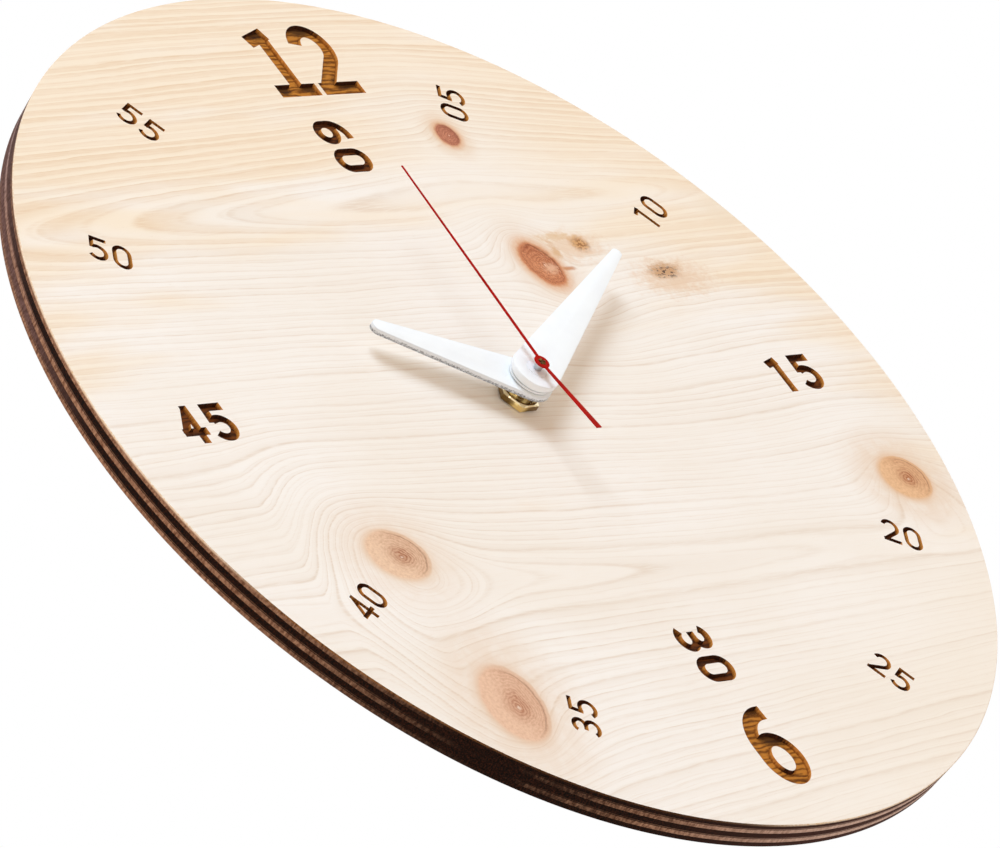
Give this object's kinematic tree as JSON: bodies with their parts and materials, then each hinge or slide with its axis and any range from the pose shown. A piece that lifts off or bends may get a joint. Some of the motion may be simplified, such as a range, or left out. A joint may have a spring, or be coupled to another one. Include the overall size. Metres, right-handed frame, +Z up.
{
  "type": "wooden wall clock",
  "caption": "Round pine wall clock with engraved plain numerals, three hands and a battery quartz movement with a rear hanger.",
  "frame": {"origin": "the middle of the flat underside of the wall hanger's slot, where the nail bears", "axes": "+Z up, towards 12 o'clock; the dial looks towards -Y and the wall is on the +Y side; +X is towards 3 o'clock"},
  "size_m": [0.3, 0.0432, 0.3],
  "materials": {
    "pine": "sanded and lightly oiled pine with knots",
    "pine_core": "cross ply with a laser-scorched edge",
    "white_acrylic": "satin white with laser-cut edges",
    "white_plastic": "moulded",
    "red_lacquer": "painted red",
    "brass": "bright turned brass",
    "spring_steel": "nickelled sheet",
    "magnet": "magnet on a moulded arbor",
    "copper": "enamelled copper wire",
    "black_plastic": "fine spark texture",
    "grey_plastic": "moulded",
    "black_rubber": "matt",
    "board": "solder-masked board",
    "battery_jacket": "plain printed jacket"
  },
  "bodies": {
    "case": {"front_ply": "pine", "second_ply": "pine_core", "core_ply": "pine", "fourth_ply": "pine_core", "rear_ply": "pine", "hex_nut": "brass", "rubber_washer": "black_rubber", "threaded_bush": "brass", "front_plate": "black_plastic", "middle_plate": "black_plastic", "rear_cover": "black_plastic", "wall_hanger": "black_plastic", "stator": "spring_steel", "coil_core": "spring_steel", "coil_bobbin": "white_plastic", "coil_winding": "copper", "circuit_board": "board", "control_chip": "black_plastic", "quartz_crystal": "spring_steel", "negative_contact": "spring_steel", "positive_contact": "spring_steel"},
    "second": {"second_hand": "red_lacquer", "second_hand_tube": "brass", "seconds_wheel": "white_plastic"},
    "minute": {"minute_hand": "white_acrylic", "minute_collet": "white_plastic", "cannon_pinion": "brass", "clutch_spring": "spring_steel"},
    "hour": {"hour_hand": "white_acrylic", "hour_collet": "white_plastic", "hour_wheel": "white_plastic"},
    "motion": {"motion_wheel": "white_plastic", "setting_knob": "grey_plastic"},
    "centre": {"centre_wheel": "white_plastic"},
    "third": {"third_wheel": "white_plastic"},
    "intermediate": {"intermediate_wheel": "white_plastic"},
    "rotor": {"rotor": "magnet"},
    "battery": {"battery": "battery_jacket"}
  },
  "joints": [
    {"name": "second_turn", "type": "hinge", "parent": "case", "child": "second", "pos_m": [0, -0.0261, -0.03668], "axis": [0, 1, 0], "continuous": true},
    {"name": "rotor_turn", "type": "hinge", "parent": "case", "child": "rotor", "pos_m": [0.00239, -0.0261, -0.0211], "axis": [0, 1, 0], "continuous": true},
    {"name": "intermediate_turn", "type": "hinge", "parent": "case", "child": "intermediate", "pos_m": [0, -0.0261, -0.02768], "axis": [0, 1, 0], "continuous": true},
    {"name": "third_turn", "type": "hinge", "parent": "case", "child": "third", "pos_m": [0.0085, -0.0261, -0.03668], "axis": [0, 1, 0], "continuous": true},
    {"name": "centre_turn", "type": "hinge", "parent": "case", "child": "centre", "pos_m": [0, -0.0261, -0.03668], "axis": [0, 1, 0], "continuous": true},
    {"name": "minute_turn", "type": "hinge", "parent": "case", "child": "minute", "pos_m": [0, -0.0261, -0.03668], "axis": [0, 1, 0], "continuous": true},
    {"name": "motion_turn", "type": "hinge", "parent": "case", "child": "motion", "pos_m": [-0.01, -0.0261, -0.03668], "axis": [0, 1, 0], "continuous": true},
    {"name": "hour_turn", "type": "hinge", "parent": "case", "child": "hour", "pos_m": [0, -0.0261, -0.03668], "axis": [0, 1, 0], "continuous": true},
    {"name": "battery_slide", "type": "slide", "parent": "case", "child": "battery", "axis": [0, 1, 0], "range_m": [0, 0.016]}
  ],
  "couplings": [
    {"joint": "intermediate_turn", "follows": "second_turn", "ratio": -5},
    {"joint": "rotor_turn", "follows": "second_turn", "ratio": 30},
    {"joint": "third_turn", "follows": "second_turn", "ratio": -0.13333},
    {"joint": "centre_turn", "follows": "second_turn", "ratio": 0.016667},
    {"joint": "motion_turn", "follows": "minute_turn", "ratio": -0.33333},
    {"joint": "hour_turn", "follows": "minute_turn", "ratio": 0.083333}
  ]
}
